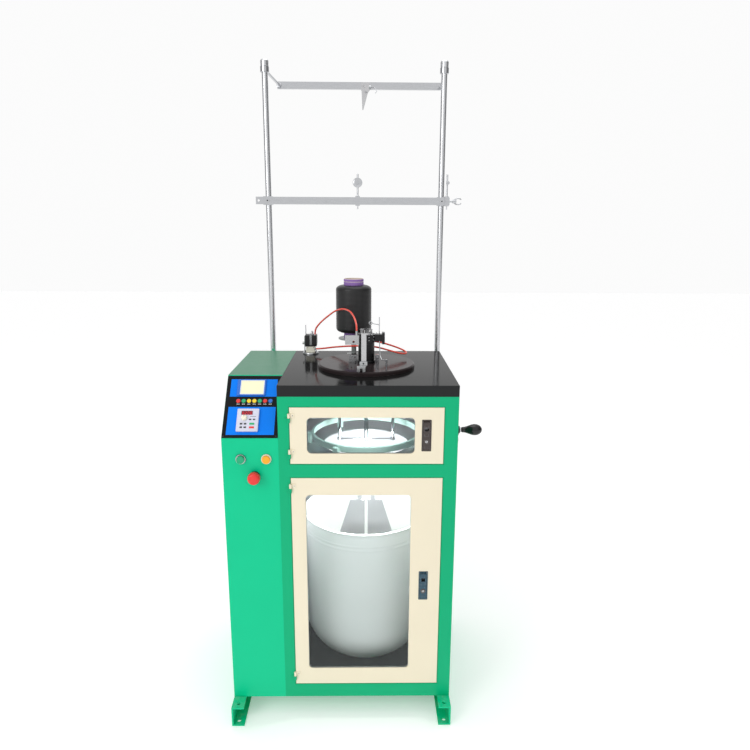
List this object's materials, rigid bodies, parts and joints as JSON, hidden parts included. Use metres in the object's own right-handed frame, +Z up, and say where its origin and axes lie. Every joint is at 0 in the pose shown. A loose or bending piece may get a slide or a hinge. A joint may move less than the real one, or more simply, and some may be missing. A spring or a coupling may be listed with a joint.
{
  "type": "circular knitting machine",
  "caption": "Small-diameter circular knitting machine on a steel cabinet with a control console, hand crank, yarn creel and doors that open.",
  "frame": {"origin": "on the floor, at the centre of the four anchor holes of the base beams", "axes": "+X to the operator's right, +Y to the back of the machine, +Z up"},
  "size_m": [0.8323, 0.8963, 2.145],
  "materials": {
    "green": "satin powder coat",
    "green_light": "satin powder coat",
    "cream": "satin powder coat",
    "table": "black polished steel",
    "black_steel": "black oxide",
    "blue_panel": "printed panel",
    "dark_plastic": "moulded",
    "grey_plastic": "moulded",
    "key_red": "moulded",
    "key_green": "moulded",
    "key_yellow": "moulded",
    "key_blue": "moulded",
    "glass": "clear acrylic",
    "chrome": "polished",
    "steel": "brushed",
    "grey_paint": "semi gloss",
    "pale_ring": "satin",
    "barrel": "moulded",
    "tube_purple": "paper tube",
    "yarn": "wound black yarn",
    "hose": "polyurethane",
    "motor_blue": "semi gloss",
    "belt": "toothed belt",
    "cream_block": "moulded",
    "lock_brown": "semi gloss"
  },
  "bodies": {
    "frame": {"base_beams": "green", "cabinet_front": "green", "cabinet_panels": "green_light", "shelf_plate": "steel", "table_top": "table", "electrical_box": "green_light", "console_panel": "blue_panel", "display_unit": "dark_plastic", "inverter": "grey_plastic", "button_collars": "chrome", "creel_poles": "chrome", "upper_bar": "chrome", "top_guide": "steel", "lower_bar": "chrome", "yarn_stand": "grey_paint", "bed_disc": "black_steel", "cylinder_housing": "black_steel", "cam_box": "black_steel", "head_brackets": "grey_paint", "wire_guides": "chrome", "valve_unit": "cream_block", "hose_arch": "hose", "hose_loop": "hose", "takedown_ring": "pale_ring", "drive_motor": "motor_blue", "drive_belts": "belt", "bevel_gearbox": "grey_paint", "chute_plates": "steel", "fabric_barrel": "barrel"},
    "rotor": {"needle_cylinder": "steel", "cylinder_pulley": "steel", "takedown_frame": "chrome"},
    "motor_rotor": {"motor_pulley": "steel"},
    "hand_rotor": {"hand_shaft": "steel"},
    "crank": {"crank_arm": "black_steel"},
    "knob": {"crank_knob": "dark_plastic"},
    "upper_door": {"upper_door": "cream", "upper_window": "glass"},
    "lower_door": {"lower_door": "cream", "lower_window": "glass"},
    "upper_lock": {"upper_lock": "lock_brown"},
    "lower_lock": {"lower_lock": "lock_brown"},
    "start_button": {"start_button": "key_green"},
    "stop_button": {"stop_button": "key_yellow"},
    "emergency_button": {"emergency_button": "key_red"},
    "inverter_knob": {"inverter_knob": "grey_plastic"},
    "package": {"yarn_package": "yarn", "yarn_tube": "tube_purple"},
    "feeler": {"feeler_arm": "steel"},
    "wing_screw": {"wing_screw": "steel"},
    "tension_disc": {"tension_disc": "chrome"},
    "feeder_post": {"feeder_post": "chrome"},
    "valve_screw": {"valve_screw": "steel"},
    "panel_key_1": {"panel_key_1": "key_red"},
    "panel_key_2": {"panel_key_2": "key_green"},
    "panel_key_3": {"panel_key_3": "key_yellow"},
    "panel_key_4": {"panel_key_4": "key_yellow"},
    "panel_key_5": {"panel_key_5": "key_green"},
    "panel_key_6": {"panel_key_6": "key_red"},
    "panel_key_7": {"panel_key_7": "key_blue"}
  },
  "joints": [
    {"name": "cylinder_spin", "type": "hinge", "parent": "frame", "child": "rotor", "pos_m": [0.079, 0, 1.127], "axis": [0, 0, 1], "continuous": true},
    {"name": "motor_spin", "type": "hinge", "parent": "frame", "child": "motor_rotor", "pos_m": [-0.105, 0.17, 1.073], "axis": [0, 0, 1], "continuous": true},
    {"name": "hand_shaft_spin", "type": "hinge", "parent": "frame", "child": "hand_rotor", "pos_m": [0.294, 0.1, 0.834], "axis": [0, 0, 1], "continuous": true},
    {"name": "crank_spin", "type": "hinge", "parent": "frame", "child": "crank", "pos_m": [0.388, 0.1, 0.834], "axis": [1, 0, 0], "continuous": true},
    {"name": "knob_spin", "type": "hinge", "parent": "crank", "child": "knob", "pos_m": [0.4, 0, 0.90389], "axis": [1, 0, 0], "continuous": true},
    {"name": "upper_door_swing", "type": "hinge", "parent": "frame", "child": "upper_door", "pos_m": [-0.15125, -0.277, 0.963], "axis": [0, 0, -1], "range_deg": [0, 110]},
    {"name": "lower_door_swing", "type": "hinge", "parent": "frame", "child": "lower_door", "pos_m": [-0.15125, -0.277, 0.477], "axis": [0, 0, -1], "range_deg": [0, 110]},
    {"name": "upper_lock_lift", "type": "hinge", "parent": "upper_door", "child": "upper_lock", "pos_m": [0.26, -0.266, 1.013], "axis": [-1, 0, 0], "range_deg": [0, 45]},
    {"name": "lower_lock_lift", "type": "hinge", "parent": "lower_door", "child": "lower_lock", "pos_m": [0.26, -0.266, 0.514], "axis": [-1, 0, 0], "range_deg": [0, 45]},
    {"name": "start_press", "type": "slide", "parent": "frame", "child": "start_button", "axis": [0, 1, 0], "range_m": [0, 0.004], "stiffness_N_per_m": 400},
    {"name": "stop_press", "type": "slide", "parent": "frame", "child": "stop_button", "axis": [0, 1, 0], "range_m": [0, 0.004], "stiffness_N_per_m": 400},
    {"name": "emergency_press", "type": "slide", "parent": "frame", "child": "emergency_button", "axis": [0, 1, 0], "range_m": [0, 0.004], "stiffness_N_per_m": 600},
    {"name": "panel_key_1_press", "type": "slide", "parent": "frame", "child": "panel_key_1", "axis": [0, 0.7604, -0.6494], "range_m": [0, 0.0012], "stiffness_N_per_m": 300},
    {"name": "panel_key_2_press", "type": "slide", "parent": "frame", "child": "panel_key_2", "axis": [0, 0.7604, -0.6494], "range_m": [0, 0.0012], "stiffness_N_per_m": 300},
    {"name": "panel_key_3_press", "type": "slide", "parent": "frame", "child": "panel_key_3", "axis": [0, 0.7604, -0.6494], "range_m": [0, 0.0012], "stiffness_N_per_m": 300},
    {"name": "panel_key_4_press", "type": "slide", "parent": "frame", "child": "panel_key_4", "axis": [0, 0.7604, -0.6494], "range_m": [0, 0.0012], "stiffness_N_per_m": 300},
    {"name": "panel_key_5_press", "type": "slide", "parent": "frame", "child": "panel_key_5", "axis": [0, 0.7604, -0.6494], "range_m": [0, 0.0012], "stiffness_N_per_m": 300},
    {"name": "panel_key_6_press", "type": "slide", "parent": "frame", "child": "panel_key_6", "axis": [0, 0.7604, -0.6494], "range_m": [0, 0.0012], "stiffness_N_per_m": 300},
    {"name": "panel_key_7_press", "type": "slide", "parent": "frame", "child": "panel_key_7", "axis": [0, 0.7604, -0.6494], "range_m": [0, 0.0012], "stiffness_N_per_m": 300},
    {"name": "inverter_knob_turn", "type": "hinge", "parent": "frame", "child": "inverter_knob", "pos_m": [-0.289, -0.24201, 1.01818], "axis": [0, -0.7604, 0.6494], "range_deg": [-135, 135]},
    {"name": "package_turn", "type": "hinge", "parent": "frame", "child": "package", "pos_m": [0.034, 0.172, 1.207], "axis": [0, 0, 1], "continuous": true},
    {"name": "feeler_swing", "type": "hinge", "parent": "frame", "child": "feeler", "pos_m": [0.074, 0.5385, 2.106], "axis": [1, 0, 0], "range_deg": [-35, 0]},
    {"name": "wing_screw_turn", "type": "hinge", "parent": "frame", "child": "wing_screw", "pos_m": [0.377, 0.278, 1.673], "axis": [1, 0, 0], "range_deg": [-180, 180]},
    {"name": "tension_disc_spin", "type": "hinge", "parent": "frame", "child": "tension_disc", "pos_m": [0.047, 0.264, 1.735], "axis": [0, 1, 0], "continuous": true},
    {"name": "feeder_post_height", "type": "slide", "parent": "frame", "child": "feeder_post", "axis": [0, 0, 1], "range_m": [-0.01, 0.03]},
    {"name": "valve_screw_turn", "type": "hinge", "parent": "frame", "child": "valve_screw", "pos_m": [-0.149, 0.2275, 1.165], "axis": [1, 0, 0], "range_deg": [-180, 180]}
  ],
  "couplings": [
    {"joint": "motor_spin", "follows": "cylinder_spin", "ratio": 2.6923},
    {"joint": "hand_shaft_spin", "follows": "cylinder_spin", "ratio": 2.6923},
    {"joint": "crank_spin", "follows": "cylinder_spin", "ratio": -2.6923}
  ]
}
